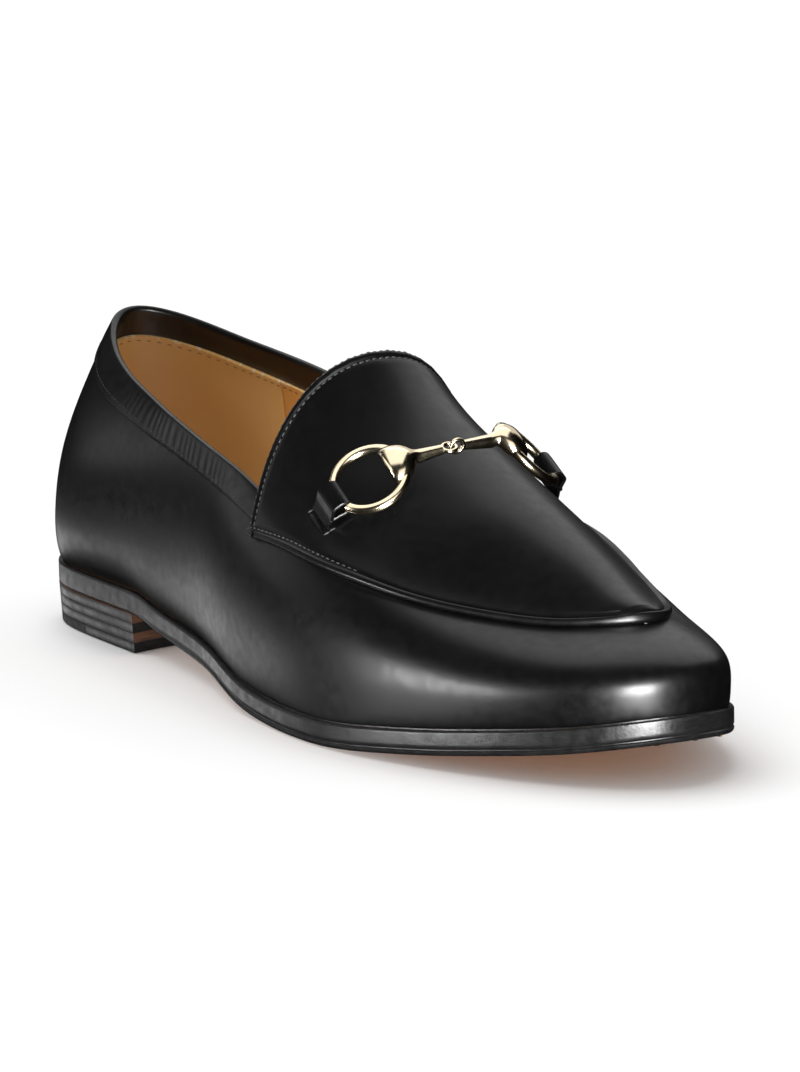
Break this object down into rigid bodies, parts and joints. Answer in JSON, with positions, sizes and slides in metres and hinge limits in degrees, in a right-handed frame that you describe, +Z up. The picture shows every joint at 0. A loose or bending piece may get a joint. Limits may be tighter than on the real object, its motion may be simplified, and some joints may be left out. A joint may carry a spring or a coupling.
{
  "type": "bit loafer",
  "caption": "Flat slip-on dress loafer for the right foot: smooth calf upper, apron vamp with a metal snaffle bit, leather sole, low stacked heel.",
  "frame": {"origin": "on the ground under the middle of the shoe's box", "axes": "+X from heel to toe, +Y towards the inner side of the foot (the wearer's left), +Z up"},
  "size_m": [0.262, 0.0828, 0.0794],
  "materials": {
    "calf": "smooth black box calf, glossy",
    "sole_leather": "natural tan sole leather, edges painted black",
    "lining_leather": "tan lining leather, satin",
    "lift_leather": "dark brown stacked leather",
    "lift_rubber": "black, matt",
    "top_leather": "natural tan leather with a painted black rim",
    "top_rubber": "black rubber, matt",
    "pale_gold": "polished pale gold plating"
  },
  "bodies": {
    "root": {"outsole": "sole_leather", "heel_lift_1": "lift_leather", "heel_lift_2": "lift_rubber", "heel_lift_3": "lift_leather", "heel_top_leather": "top_leather", "heel_top_rubber": "top_rubber", "insole": "lining_leather", "upper": "calf", "apron": "calf", "bit_ring_outer": "pale_gold", "bit_ring_inner": "pale_gold", "bit_bar_outer": "pale_gold", "bit_bar_inner": "pale_gold", "bit_tab_outer": "calf", "bit_tab_inner": "calf"}
  },
  "joints": []
}
